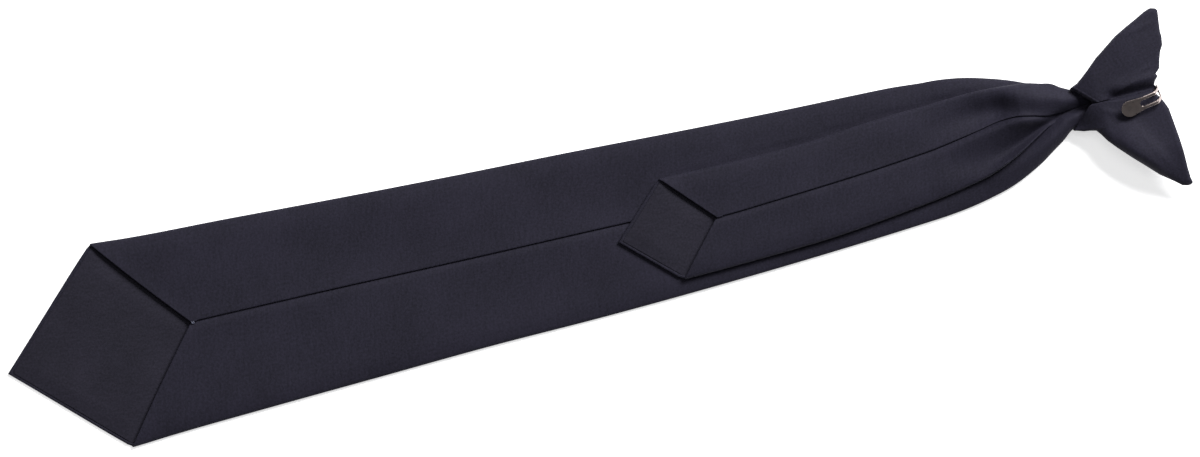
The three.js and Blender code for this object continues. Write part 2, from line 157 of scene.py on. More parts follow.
# Plans and points are in millimetres in the tie's own frame. Its x runs from the wide point at 0 to
# the top of the knot at 505, its y is 0 at that point, and this is where the point is in the scene.
tip_place = (-252.5, -1.573)
wide_plan = {
    "x": [0, 46, 60, 105, 150, 200, 250, 300, 350, 375, 390, 400, 410, 420,
          430, 437, 444, 450, 455, 458, 461, 474],
    "low": [-42.1, -42.1, -41.2, -39.2, -37.5, -35.6, -34.6, -32.8, -30.2, -28.6, -27.5, -26.7, -25.4, -23.4,
            -20.6, -17.6, -13.9, -10, -6.7, -4.2, -2.7, -2.6],
    "high": [45.3, 45.3, 44.2, 42.2, 40, 37.9, 36.2, 34.1, 32.4, 31.8, 31.3, 30.5, 29.9, 28.3,
             25.6, 23.3, 20.4, 17.6, 15, 12.9, 11.9, 11.9],
    "seam": [3.5, 3.5, 3.5, 3.4, 3, 2.3, 1.9, 1.3, 1.1, 1.3, 1.9, 2.2, 2.4, 2.7,
             3.1, 3.4, 3.8, 4.4, 4.7, 4.7, 4.7, 4.7],
}
wide_point = {"tip": (0, 0), "low": (43.9, -42.1), "high": (46, 45.3), "seam": (80, 3.4)}


def smooth(value, start, end):
    """A soft step from 0 at start to 1 at end."""
    share = np.clip((value - start) / (end - start), 0, 1)
    return share * share * (3 - 2 * share)


def curve_at(table, column, x):
    """A smooth curve through one column of a plan, read at x."""
    xs = np.array(table["x"], float)
    ys = np.array(table[column], float)
    slopes = np.gradient(ys, xs)
    x = np.clip(x, xs[0], xs[-1])
    k = np.clip(np.searchsorted(xs, x) - 1, 0, len(xs) - 2)
    width = xs[k + 1] - xs[k]
    t = (x - xs[k]) / width
    rise = ys[k + 1] - ys[k]
    start, end = slopes[k] * width, slopes[k + 1] * width
    return ys[k] + t * start + t * t * (3 * rise - 2 * start - end) + t**3 * (start + end - 2 * rise)


def bell(distance, width):
    """A soft bump that is 1 where the distance is 0 and fades away over the width."""
    return np.exp(-((distance / width) ** 2))


def soft_folds(x, y, folds):
    """Ridges and hollows. Each fold follows y along x, with its height and half its width there."""
    total = np.zeros_like(x)
    for fold in folds:
        middle, height, width = (np.interp(x, fold["x"], fold[column]) for column in ("y", "height", "width"))
        total += height * bell(y - middle, width)
    return total


def bed(x, y):
    """How far the gathers, the knot's neck and the cloth's own waviness lift the back of the tie."""
    low, high = curve_at(wide_plan, "low", x), curve_at(wide_plan, "high", x)
    across = (y - low) / (high - low)
    wave = 0.5 + 0.5 * np.cos(2 * gather_count * np.pi * (across - gather_phase))
    depth = smooth(x, gathers_start, gathers_full) * (1 - 0.9 * smooth(x, gathers_full, knot_mouth))
    ripple = 0.12 * np.sin(x / 17 + y / 9) + 0.1 * np.sin(x / 31 - y / 14 + 1)
    ripple = ripple * smooth(x, 60, 110) * (1 - smooth(x, 400, 440))
    return neck_lift * smooth(x, gathers_start, knot_mouth) + gather_height * depth * wave + ripple


def folded_section(tip_share):
    """The stations round a folded blade, from the lower flap's hidden edge round to the upper flap's.
    Each has its y as shares of the low edge, high edge and seam plus an offset, its height, the
    direction that its outer face looks, and what it belongs to. One panel station meets the tip."""
    stations = []
    tuck_depth = 1.05
    seam_radius = 0.45
    flap_points, closer_at_seam = 20, 1.4
    panel_points = 14

    def add(part, shares, offset, height, out):
        stations.append({"part": part, "shares": shares, "offset": offset, "height": height, "out": out})

    # The lower flap's edge is tucked under the upper flap, and then the cloth goes out to the low edge
    for offset in (5.0, 2.5, 0.6):
        add("tuck", (0, 0, 1), offset, blade_thickness - tuck_depth, 90)
    for t in np.linspace(0, 1, flap_points) ** closer_at_seam:
        add("flap_low", (t, 0, 1 - t), t * fold_radius - 0.5 * (1 - t), blade_thickness, 90)
    for out in range(105, 260, 15):
        cos, sin = math.cos(math.radians(out)), math.sin(math.radians(out))
        add("fold_low", (1, 0, 0), fold_radius * (1 + cos), fold_radius * (1 + sin), out)

    # Across the front, round the high edge, and back to the seam, where the cut edge is turned under
    low_side, high_side = np.linspace(0, tip_share, panel_points), np.linspace(tip_share, 1, panel_points)
    for t in np.concatenate([low_side, high_side[1:]]):
        add("panel", (1 - t, t, 0), fold_radius * (1 - 2 * t), 0, -90)
    for out in range(-75, 80, 15):
        cos, sin = math.cos(math.radians(out)), math.sin(math.radians(out))
        add("fold_high", (0, 1, 0), fold_radius * (cos - 1), fold_radius * (1 + sin), out)
    for t in 1 - np.linspace(1, 0, flap_points) ** closer_at_seam:
        add("flap_high", (0, 1 - t, t), t * seam_radius - fold_radius * (1 - t), blade_thickness, 90)
    for out in (120, 150, 180, 210, 240, 270):
        cos, sin = math.cos(math.radians(out)), math.sin(math.radians(out))
        add("seam_edge", (0, 0, 1), seam_radius * (1 + cos), blade_thickness - seam_radius * (1 - sin), out)
    for offset in (1.6, 3.4):
        add("seam_edge", (0, 0, 1), offset, blade_thickness - 2 * seam_radius, 270)
    return stations


def cloth_object(name, points, flat, closed=False, round_length=0.0, wall=0.0, tidy=False):
    """A mesh of cloth from rows of points in the tie's frame. flat holds the same points as they lie on
    the flat cloth, in millimetres, and becomes the UV map in metres. The wall goes inwards. A tube's
    last column meets its first at round_length, and tidy merges the points that lie together."""
    rows, columns = points.shape[:2]
    place = (points + np.array([tip_place[0], tip_place[1], 0])) * mm
    mesh = bpy.data.meshes.new(name)
    faces = []
    for r in range(rows - 1):
        for c in range(columns if closed else columns - 1):
            d = (c + 1) % columns
            faces.append((r * columns + c, r * columns + d, (r + 1) * columns + d, (r + 1) * columns + c))
    mesh.from_pydata(place.reshape(-1, 3).tolist(), [], faces)
    layer = mesh.uv_layers.new(name="cloth")
    spread = (flat * mm).reshape(-1, 2)
    corners = np.empty(len(mesh.loops), dtype=np.int32)
    mesh.loops.foreach_get("vertex_index", corners)
    uv = spread[corners]
    if round_length:
        in_last_column = np.arange(len(mesh.loops)) // 4 % columns == columns - 1
        uv[in_last_column & (corners % columns == 0), 1] = round_length * mm
    layer.data.foreach_set("uv", uv.astype(np.float32).ravel())
    piece = bpy.data.objects.new(name, mesh)
    bpy.context.scene.collection.objects.link(piece)
    if tidy:
        shape = bmesh.new()
        shape.from_mesh(mesh)
        bmesh.ops.remove_doubles(shape, verts=shape.verts, dist=1e-7)
        bmesh.ops.recalc_face_normals(shape, faces=shape.faces)
        shape.to_mesh(mesh)
        shape.free()
    for polygon in mesh.polygons:
        polygon.use_smooth = True
    if wall:
        solidify = piece.modifiers.new("wall", "SOLIDIFY")
        solidify.thickness = wall * mm
        solidify.offset = -1
        bpy.ops.object.select_all(action="DESELECT")
        bpy.context.view_layer.objects.active = piece
        piece.select_set(True)
        bpy.ops.object.modifier_apply(modifier="wall")
    return piece


def folded_blade(name, plan, point, base, end, flap_folds, ceiling=None):
    """One blade of the tie as a single folded sheet, with a turned hem round its point and flaps. base
    is the height that it lies at, and ceiling gives the highest that its back may be."""
    tip, low, high, seam = (np.array(point[corner], float) for corner in ("tip", "low", "high", "seam"))
    inner_low, inner_high = low[1] + fold_radius, high[1] - fold_radius
    section = folded_section((tip[1] - inner_low) / (inner_high - inner_low))
    shares = np.array([station["shares"] for station in section], float)
    offset = np.array([station["offset"] for station in section], float)
    height = np.array([station["height"] for station in section], float)
    out = np.radians([station["out"] for station in section])
    part = np.array([station["part"] for station in section])
    out_y, out_z = np.cos(out), np.sin(out)
    on_seam = np.isin(part, ("tuck", "seam_edge"))
    on_back = np.where(on_seam, 1.0, smooth(out_z, -1, 1))

    def y_at(x):
        edges = [curve_at(plan, column, x) for column in ("low", "high", "seam")]
        return sum(shares[:, i] * edges[i] for i in range(3)) + offset

    # Where each line along the cloth starts, and how far its slanting edge stretches it
    y_start = y_at(np.full(len(section), low[0]))
    slope = {
        "panel_low": (low[0] - tip[0]) / (tip[1] - low[1]),
        "panel_high": (high[0] - tip[0]) / (high[1] - tip[1]),
        "flap_low": (seam[0] - low[0]) / (seam[1] - low[1]),
        "flap_high": (seam[0] - high[0]) / (high[1] - seam[1]),
    }
    to_tip = np.where(
        y_start < tip[1],
        tip[0] + (tip[1] - y_start) * slope["panel_low"],
        tip[0] + (y_start - tip[1]) * slope["panel_high"],
    )
    to_seam_low = low[0] + (y_start - low[1]) * slope["flap_low"]
    to_seam_high = high[0] + (high[1] - y_start) * slope["flap_high"]
    to_seam = np.where(np.isin(part, ("flap_low", "fold_low")), to_seam_low, to_seam_high)
    to_seam = np.where(on_seam, seam[0], np.minimum(to_seam, seam[0]))
    start = to_tip * (1 - on_back) + to_seam * on_back
    stretch = np.where(on_seam, 1.0, slant_stretch - 0.14 * on_back)
    roll = np.where(on_seam, 0.08, 0.62 - 0.2 * on_back)
    start = np.where(part == "tuck", start + 2, start)

    # Each row along the cloth has its x and how far it is sunk below the outer face. The first rows are
    # the hem, from its cut edge inside the blade to its rim. The next ones run from the slanting edges
    # to where they are all square to the tie, and the last ones, which lie closer, are the gathers.
    rows = []
    for back, sink in ((2.6, 0.85), (1.7, 0.6), (1.0, 0.2), (0.5, 0.04)):
        rows.append((start + stretch * (roll + back), 2 * roll - sink * (1 - on_back)))
    for angle in np.radians([180, 155, 130, 105, 80, 55, 30, 10]):
        rows.append((start + stretch * roll * (1 - np.sin(angle)), roll * (1 - np.cos(angle))))
    rim = start + stretch * roll
    square = seam[0] + 12
    for t in np.linspace(0, 1, 44) ** 1.15:
        rows.append((rim + (square - rim) * t, np.zeros(len(section))))
    plain_step, gathered_from, gathered_step = 2.5, 392, 0.8
    plain_rows = np.arange(square + plain_step, gathered_from, plain_step)
    gathered_rows = np.arange(gathered_from, end + 0.1, gathered_step)
    for x in np.concatenate([plain_rows, gathered_rows]):
        rows.append((np.full(len(section), x), np.zeros(len(section))))

    # The blade is pressed thinner at both edges. At the seam the lower flap dips and the upper one rises
    # over it, and the flaps' slanting edges stand a little proud.
    thinning, thinned_width = 0.26, 4
    seam_dip, seam_dip_width = 0.7, 1.5
    seam_rise, seam_rise_width = 0.22, 5
    proud, proud_width = 0.15, 7
    dip = np.isin(part, ("flap_low",))
    rise = np.isin(part, ("flap_high", "seam_edge"))
    points = np.zeros((len(rows), len(section), 3))
    for r, (x, sunk) in enumerate(rows):
        y = y_at(x)
        seam_y = curve_at(plan, "seam", x)
        to_edge = np.minimum(y - curve_at(plan, "low", x), curve_at(plan, "high", x) - y)
        z = height * (1 - thinning * bell(to_edge, thinned_width))
        z[dip] -= seam_dip * bell((seam_y - y)[dip], seam_dip_width)
        z[rise] += seam_rise * bell((y - seam_y)[rise], seam_rise_width)
        lifted = bed(x, y)
        if base == 0:
            lifted = lifted - bed_under(x, y) * (1 - on_back)
        edge_lift = proud * (1 - smooth(x - start, 0, proud_width)) * np.where(on_seam, 0, on_back)
        edge_lift *= smooth(abs(x - seam[0]), 0, 12)
        z = base + z + lifted + edge_lift + soft_folds(x, y, flap_folds) * on_back
        if ceiling is not None:
            z = np.where(out_z > 0.2, ceiling(x, y, z), z)
        points[r, :, 0] = x
        points[r, :, 1] = y - out_y * sunk
        points[r, :, 2] = z - out_z * sunk
    around = np.linalg.norm(np.diff(points[len(rows) // 2], axis=0), axis=1)
    around = np.concatenate([[0], np.cumsum(around)])
    flat = np.stack([points[:, :, 0], np.broadcast_to(around, points.shape[:2])], axis=2)
    return cloth_object(name, points, flat, wall=cloth_wall)


def bed_under(x, y):
    """The part of the lift that leaves the table out: the panel stays down until the neck."""
    ripple = bed(x, y) - neck_lift * smooth(x, gathers_start, knot_mouth)
    return ripple * (1 - smooth(x, 440, knot_mouth))


# Where the tail lies on the wide blade, and the tail's plan
tail_base = 3.79
tail_plan = {
    "x": [262, 290, 310, 330, 350, 375, 390, 400, 410, 420, 430, 437, 444, 450, 455, 458, 461, 464, 474],
    "low": [-27.2, -27, -26.4, -25.6, -24.5, -21.9, -20, -18.6, -16.8, -14.6, -10.9, -7.3, -3.2, 0, 1.4, 1.5,
            1.6, 1.6, 1.6],
    "high": [16.8, 16.6, 16.4, 16.5, 17.2, 19.3, 20.3, 20.6, 21.2, 21.6, 21.4, 20.9, 20.2, 18.6, 17.2, 15.1,
             13.5, 11.7, 11.5],
    "seam": [-4.9, -4.8, -4.7, -3.6, -2.4, -0.6, 0.8, 1.8, 3.4, 5.2, 7.1, 7.3, 6, 4.6, 4.5, 4.6,
             4.9, 5.2, 5.4],
}

# The folds that show beside the tail: the big one that rolls up beside the knot's mouth, a smaller one
# on its inner side, and a soft one by the high edge
wide_folds = [
    {"x": [418, 432, 442, 450, 456, 461, 466, 471], "y": [-20, -15.5, -11, -6, -2.6, -0.8, 0.6, 1.5],
     "height": [0, 0.9, 2.2, 3.2, 3.5, 3.0, 1.9, 0], "width": [4, 4, 4.2, 4.4, 4.2, 3.8, 3.4, 3]},
    {"x": [440, 448, 456, 462, 467, 471], "y": [-7, -2.6, 1.2, 2.4, 3.8, 4.4],
     "height": [0, 0.8, 1.7, 1.8, 1.2, 0], "width": [2.4, 2.4, 2.2, 2, 1.8, 1.6]},
    {"x": [405, 425, 438, 446], "y": [26, 23.5, 21, 19],
     "height": [0, 0.5, 0.7, 0], "width": [4, 3, 2.5, 2.5]},
]

# Near the knot the tail only presses on what lies above this line, as the big fold rolls up below it
pressed_from = {"x": [300, 436, 443, 448, 453, 458, 463, 470], "y": [-60, -60, -4, -0.5, 3.2, 4.0, 4.7, 5.6]}


def under_tail(x, y, z):
    """The wide blade's back is pressed flat where the tail lies on it, with a groove at its high edge."""
    low, high = curve_at(tail_plan, "low", x), curve_at(tail_plan, "high", x)
    low = np.maximum(low, np.interp(x, pressed_from["x"], pressed_from["y"]))
    inside = smooth(y, low - 0.6, low + 0.8) * (1 - smooth(y, high - 1, high + 0.6))
    inside = inside * smooth(x, 300, 320)
    gap = 0.15
    most = tail_base + bed(x, y) - gap
    groove_depth, groove_width = 0.7, 0.8
    groove = groove_depth * bell(y - high - 0.1, groove_width) * smooth(x, 285, 300)
    return z - inside * np.maximum(0, z - most) - groove


blades_end = 472
wide_shell = folded_blade("wide_shell", wide_plan, wide_point, 0, blades_end, wide_folds, under_tail)


def weighed(tree, weight, value, rest=0.0, rest_from=None):
    """A weight times one output, plus a plain number or another output."""
    values = {1: weight, 2: rest}
    links = {0: value}
    if rest_from is not None:
        links[2] = rest_from
    return add_node(tree, "ShaderNodeMath", {"operation": "MULTIPLY_ADD"}, values, links).outputs["Value"]


# Matte polyester, yarn-dyed midnight navy, piece-woven in a fine twill. It shows an almost even dark
# cloth with a soft bloom at glancing angles, faint steep streaks and slightly uneven yarns. A yarn is
# about 0.15 mm, too fine to show, so the yarns are drawn at 0.9 mm, the twill's ribs at 0.5 mm and the
# streaks at 1.2 mm.
def twill_cloth(name, deep, pale, rib_angle, rib=0.5, streak=1.2, yarn=0.9, cloud=22, relief=0.06):
    """The cloth's material, from its darkest to its palest colour, with all its widths in millimetres."""
    material, tree, shader = new_material(name)
    place = add_node(tree, "ShaderNodeUVMap", {"uv_map": "cloth"})
    turned = add_node(
        tree, "ShaderNodeMapping", {}, {"Rotation": (0, 0, -rib_angle)}, {"Vector": place.outputs["UV"]}
    )
    long_streaks = add_node(
        tree, "ShaderNodeMapping", {}, {"Scale": (1 / (5 * streak * mm), 1 / (streak * mm), 1)},
        {"Vector": turned.outputs["Vector"]},
    )
    streaks = add_node(
        tree, "ShaderNodeTexNoise", {}, {"Scale": 1, "Detail": 2, "Roughness": 0.6},
        {"Vector": long_streaks.outputs["Vector"]},
    )
    clouds = add_node(
        tree, "ShaderNodeTexNoise", {}, {"Scale": 1 / (cloud * mm), "Detail": 3},
        {"Vector": place.outputs["UV"]},
    )
    yarns = add_node(
        tree, "ShaderNodeTexNoise", {}, {"Scale": 1 / (yarn * mm), "Detail": 2, "Roughness": 0.7},
        {"Vector": place.outputs["UV"]},
    )
    ribs = add_node(
        tree, "ShaderNodeTexWave", {"bands_direction": "Y", "wave_profile": "SIN"},
        {"Scale": 1 / (rib * mm) * 2 * math.pi / 20, "Distortion": 1.2, "Detail": 2, "Detail Scale": 1.5},
        {"Vector": turned.outputs["Vector"]},
    )
    shade = weighed(tree, 0.35, clouds.outputs["Fac"], rest=0.32)
    shade = weighed(tree, 0.3, streaks.outputs["Fac"], rest_from=shade)
    shade = weighed(tree, 0.85, yarns.outputs["Fac"], rest_from=shade)
    shade = weighed(tree, 0.08, ribs.outputs["Fac"], rest_from=shade)
    spread = add_node(tree, "ShaderNodeMapRange", {}, {"From Min": 0.88, "From Max": 1.34}, {"Value": shade})
    colour = two_tone(tree, spread.outputs["Result"], deep, pale)
    surface = weighed(tree, 0.6, streaks.outputs["Fac"], rest_from=ribs.outputs["Fac"])
    raised = add_node(
        tree, "ShaderNodeBump", {}, {"Strength": 0.4, "Distance": relief * mm}, {"Height": surface}
    )
    tree.links.new(colour.outputs["Color"], shader.inputs["Base Color"])
    tree.links.new(raised.outputs["Normal"], shader.inputs["Normal"])
    shader.inputs["Roughness"].default_value = 0.72
    shader.inputs["Specular IOR Level"].default_value = 0.12
    shader.inputs["Sheen Weight"].default_value = 0.04
    shader.inputs["Sheen Roughness"].default_value = 0.45
    shader.inputs["Sheen Tint"].default_value = linear("b9b8cf")
    return material


bias_twill = twill_cloth("polyester_twill_on_the_bias", "17161f", "272532", math.radians(-77))
wide_shell.data.materials.append(bias_twill)
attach(wide_shell, "root")
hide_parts("wide_blade")


# The tail, the narrow blade. It is the same cloth and made in the same way, and lies loose on the
# back of the wide blade, its seam a little off its middle. Both run into the knot in soft gathers.
tail_point = {"tip": (262.5, -5.5), "low": (285.7, -27.2), "high": (285, 16.8), "seam": (305, -4.7)}

# Its folds, from the high edge down: a hollow, the hump at the neck, a ridge along the high edge, a
# ridge beside the seam, the deep hollow that runs into the mouth, and a ridge along the low edge
tail_folds = [
    {"x": [396, 410, 421, 429, 435, 440], "y": [10, 10.8, 11, 11, 11, 11],
     "height": [0, -1.2, -2.4, -2.4, -0.9, 0], "width": [6, 7, 7, 6.6, 6, 6]},
    {"x": [426, 432, 439, 446, 456, 462, 467], "y": [12, 12, 12, 11.6, 10.2, 9, 8.2],
     "height": [0, 0.4, 3.0, 3.7, 3.0, 1.4, 0.3], "width": [6, 6, 6, 5.6, 4.6, 3.6, 3]},
    {"x": [416, 428, 436, 444, 454], "y": [19.6, 19.4, 19, 18, 16],
     "height": [0, 0.3, 1.2, 0.8, 0], "width": [3, 3.4, 3.6, 3.2, 2.5]},
    {"x": [405, 422, 433, 441, 448, 456], "y": [0.5, 3.8, 5.6, 5, 3.6, 3],
     "height": [0, 0.9, 1.8, 1.7, 0.8, 0], "width": [3.4, 3, 2.8, 2.6, 2.2, 2]},
    {"x": [402, 420, 431, 437, 443, 450, 456, 462, 470], "y": [-8, -9, -6.8, -4.6, -1.8, 1, 3, 4.6, 5.4],
     "height": [0, -1.4, -2.5, -2.7, -2.7, -2.6, -2.7, -2.6, -2.4],
     "width": [5, 5.4, 4.6, 3.8, 3.2, 2.6, 2.6, 3, 3]},
    {"x": [412, 422, 430, 437, 444, 450, 456], "y": [-16, -13.6, -10.4, -7, -3, 0.2, 1.4],
     "height": [0, 1.4, 2.8, 3.6, 3.4, 2.0, 0], "width": [2.6, 2.4, 2.3, 2.1, 1.8, 1.5, 1.2]},
]
tail_shell = folded_blade("tail_shell", tail_plan, tail_point, tail_base, blades_end, tail_folds)
tail_shell.data.materials.append(bias_twill)
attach(tail_shell, "root")
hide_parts("tail_blade")


# The tippings, which line both points. They are the same polyester cut along the grain, each a kite
# of cloth sewn in just inside the turned rim of its point and reaching under the flaps.
tipping_wall = 0.3
tipping_height = 1.45
tipping_inset = 1.3
tipping_under_flaps = 7


def tipping(name, point, base, crown):
    """One kite of cloth. Its front edges are turned under, and it sinks where it goes under the flaps."""
    tip, low, high, seam = (np.array(point[corner], float) for corner in ("tip", "low", "high", "seam"))
    across = np.linspace(0.988, 0.012, 60)
    y = low[1] + (high[1] - low[1]) * across
    below = y < tip[1]
    ratio = np.where(below, (low[0] - tip[0]) / (tip[1] - low[1]), (high[0] - tip[0]) / (high[1] - tip[1]))
    edge = tip[0] + np.abs(y - tip[1]) * ratio
    to_seam_low = low[0] + (y - low[1]) * (seam[0] - low[0]) / (seam[1] - low[1])
    to_seam_high = high[0] + (high[1] - y) * (seam[0] - high[0]) / (high[1] - seam[1])
    finish = np.minimum(to_seam_low, to_seam_high) + tipping_under_flaps
    roll = 0.34
    rows = []
    for angle in np.radians([180, 135, 90, 60, 30]):
        x = edge + slant_stretch * (tipping_inset + roll * (1 - np.sin(angle)))
        rows.append((x, np.full(len(y), roll * (1 - math.cos(angle)))))
    first = edge + slant_stretch * (tipping_inset + roll)
    for t in np.linspace(0, 1, 60) ** 1.2:
        rows.append((first + (finish - first) * t, np.zeros(len(y))))
    points = np.zeros((len(rows), len(y), 3))
    for r, (x, sunk) in enumerate(rows):
        inside = (x - edge) / slant_stretch
        swell = crown * smooth(inside, 0, 9) * smooth(finish - x, 8, 18)
        swell -= 0.75 * (1 - smooth(finish - x, 5, 10.5))
        ripple = 0.07 * np.sin(x / 6 + y / 11) * smooth(inside, 1, 8)
        points[r, :, 0] = x
        points[r, :, 1] = y
        points[r, :, 2] = base + tipping_height + swell + ripple - sunk
    return cloth_object(name, points, points[:, :, :2].copy(), wall=tipping_wall)


grain_twill = twill_cloth("polyester_twill_on_the_grain", "18171f", "282631", math.radians(-8), streak=1.1)
wide_lining = tipping("wide_lining", wide_point, 0, 0.5)
tail_lining = tipping("tail_lining", tail_point, tail_base, 0.4)
for lining, node, flat, area in (
    (wide_lining, "wide_tipping", (0.0875, 0.088), 0.0040),
    (tail_lining, "tail_tipping", (0.0445, 0.050), 0.00118),
):
    lining.data.materials.append(grain_twill)
    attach(lining, "root")
    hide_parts(node)


# The thread tack. A few turns of pale polyester thread, sewn by hand and pulled tight, hold the two
# flaps together where the wide blade's seam starts. Real thread is about 0.2 mm thick, and this is
# drawn at 0.26 mm so that it shows.
def thread_turns(name, turns, radius, thickness, middle, height):
    """Flattened turns of thread side by side, with tapered ends, round the middle of the stitch."""
    turn_steps, ring_steps = 22, 6
    spacing, flatness, unevenness = 1.9, 0.55, 0.1
    steps = turns * turn_steps
    angle = np.linspace(0, 2 * np.pi * turns, steps)
    drift = np.linspace(-0.5, 0.5, steps) * turns * thickness * spacing
    path = np.stack([
        middle[0] + drift + unevenness * np.sin(angle * 0.7),
        middle[1] + radius * np.cos(angle),
        height + flatness * radius * np.sin(angle),
    ], axis=1)
    ahead = np.gradient(path, axis=0)
    ahead /= np.linalg.norm(ahead, axis=1)[:, None]
    side = np.cross(ahead, [1, 0, 0])
    side /= np.linalg.norm(side, axis=1)[:, None]
    up = np.cross(side, ahead)
    ring = np.linspace(0, 2 * np.pi, ring_steps, endpoint=False)
    to_end = np.minimum(np.arange(steps), steps - 1 - np.arange(steps))
    radii = thickness / 2 * np.minimum(1, to_end / 2)
    points = path[:, None] + radii[:, None, None] * (
        np.cos(ring)[None, :, None] * side[:, None] + np.sin(ring)[None, :, None] * up[:, None]
    )
    along = np.arange(steps) * 0.3
    flat = np.stack(np.broadcast_arrays(along[:, None], ring[None, :] * thickness / 2), axis=2)
    return cloth_object(name, points, flat, closed=True, round_length=math.pi * thickness, tidy=True)


# Three-ply polyester sewing thread with a satin finish. Its plies show as grey-blue slanting bands.
thread_material, tree, shader = new_material("polyester_sewing_thread")
place = add_node(tree, "ShaderNodeUVMap", {"uv_map": "cloth"})
ply = add_node(
    tree, "ShaderNodeTexWave", {"bands_direction": "DIAGONAL"}, {"Scale": 320},
    {"Vector": place.outputs["UV"]},
)
tone = two_tone(tree, ply.outputs["Fac"], "3f4252", "6d7186")
tree.links.new(tone.outputs["Color"], shader.inputs["Base Color"])
shader.inputs["Roughness"].default_value = 0.45
tack = thread_turns(
    "seam_tack", turns=3, radius=0.55, thickness=0.26, middle=(80.9, 3.1), height=blade_thickness - 0.05
)
tack.data.materials.append(thread_material)
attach(tack, "root")


# The knot wrap. One band of the same cloth goes round both blades and is sewn to itself. It is the
# flat trapezoid that shows as the knot from the front, and opens in a V at the back.
wrap_wall = 0.45
mouth_low, mouth_high, mouth_point = (459.4, -4.1), (461.7, 13.4), (470.5, 5.4)
wrap_plan = {
    "x": [459.4, 467, 475, 482, 489.5, 493.6, 495.1, 495.8],
    "low": [-4.1, -5.2, -9.2, -14.6, -18.6, -19.8, -19.3, -18.2],
    "high": [13.4, 13.9, 16.3, 19.6, 22, 22.8, 22.3, 21.2],
    "bottom": [0, 0, 0, 0, 0, 0, 0.65, 1.7],
    "top": [10.3, 10.3, 10.1, 8.9, 8.2, 8.1, 7.4, 6.4],
}


def rounded(share, sharpness):
    """Height of a rounded edge from 0 to 1, at a share from 0 at the middle to 1 at the edge."""
    return np.maximum(0, 1 - np.abs(share) ** sharpness) ** (1 / sharpness)


def knot_sleeve():
    """The band as a flattened tube, with a rolled rim round its mouth and its far end pressed shut."""
    columns = 96
    turn = np.linspace(0, 2 * np.pi, columns, endpoint=False) + np.pi
    flat_y = np.sign(np.cos(turn)) * np.abs(np.cos(turn)) ** 0.55
    flat_z = np.sign(np.sin(turn)) * np.abs(np.sin(turn)) ** 0.4

    # The mouth is straight across the front, and opens in a V over the back
    middle_y = (mouth_low[1] + mouth_high[1]) / 2
    half = (mouth_high[1] - mouth_low[1]) / 2
    y = middle_y + flat_y * half
    low_run, low_width = mouth_point[0] - mouth_low[0], mouth_point[1] - mouth_low[1]
    high_run, high_width = mouth_point[0] - mouth_high[0], mouth_high[1] - mouth_point[1]
    to_point = np.where(
        y < mouth_point[1],
        mouth_low[0] + (y - mouth_low[1]) * low_run / low_width,
        mouth_high[0] + (mouth_high[1] - y) * high_run / high_width,
    )
    straight = mouth_low[0] + (y - mouth_low[1]) * (mouth_high[0] - mouth_low[0]) / (2 * half)
    upper = smooth(flat_z, 0.1, 0.8)
    start = straight * (1 - upper) + to_point * upper

    # Each row round the band has its x and how far it is sunk below the outer face
    roll = 0.62
    square = 476
    rows = [(start + roll + back, np.full(columns, 2 * roll)) for back in (2.4, 1.2, 0.5)]
    for angle in np.radians([180, 140, 100, 60, 30, 10]):
        rows.append((start + roll * (1 - np.sin(angle)), np.full(columns, roll * (1 - math.cos(angle)))))
    for t in np.linspace(0, 1, 20):
        rows.append((start + roll + (square - start - roll) * t, np.zeros(columns)))
    for x in np.concatenate([np.arange(square + 1, 494, 1.5), [494.2, 494.9, 495.4, 495.8]]):
        rows.append((np.full(columns, x), np.zeros(columns)))
    points = np.zeros((len(rows) + 2, columns, 3))
    for r, (x, sunk) in enumerate(rows):
        low, high = curve_at(wrap_plan, "low", x), curve_at(wrap_plan, "high", x)
        bottom, top = curve_at(wrap_plan, "bottom", x), curve_at(wrap_plan, "top", x)
        middle_y, half = (low + high) / 2, (high - low) / 2
        middle_z, rise = (bottom + top) / 2, (top - bottom) / 2
        y = middle_y + flat_y * (half - sunk)
        z = middle_z + flat_z * (rise - sunk)
        slump = 3.4 * smooth(-y, -4, 3) * (1 - smooth(x, 467, 482)) * smooth(z, 2, 8)
        points[r] = np.stack([x, y, z - slump], axis=1)

    # The far end is closed along a line at half its height
    last = points[len(rows) - 1]
    middle_z = (last[:, 2].min() + last[:, 2].max()) / 2
    inward = np.zeros(points.shape[:2])
    for row, keep in ((len(rows), 0.6), (len(rows) + 1, 0)):
        inward[row] = (1 - keep) * np.abs(last[:, 2] - middle_z)
        points[row] = last + np.array([0.15, 0, 0])
        points[row, :, 2] = middle_z + (last[:, 2] - middle_z) * keep
    measured = points[30]
    around = np.concatenate([[0], np.cumsum(np.linalg.norm(np.diff(measured, axis=0), axis=1))])
    flat = np.stack([points[:, :, 0] + inward, np.broadcast_to(around, points.shape[:2])], axis=2)
    round_length = around[-1] + np.linalg.norm(measured[-1] - measured[0])
    return cloth_object("knot_cloth", points, flat, True, round_length, wall=wrap_wall, tidy=True)


knot_cloth = knot_sleeve()
knot_cloth.data.materials.append(bias_twill)
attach(knot_cloth, "root")
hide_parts("knot_wrap")


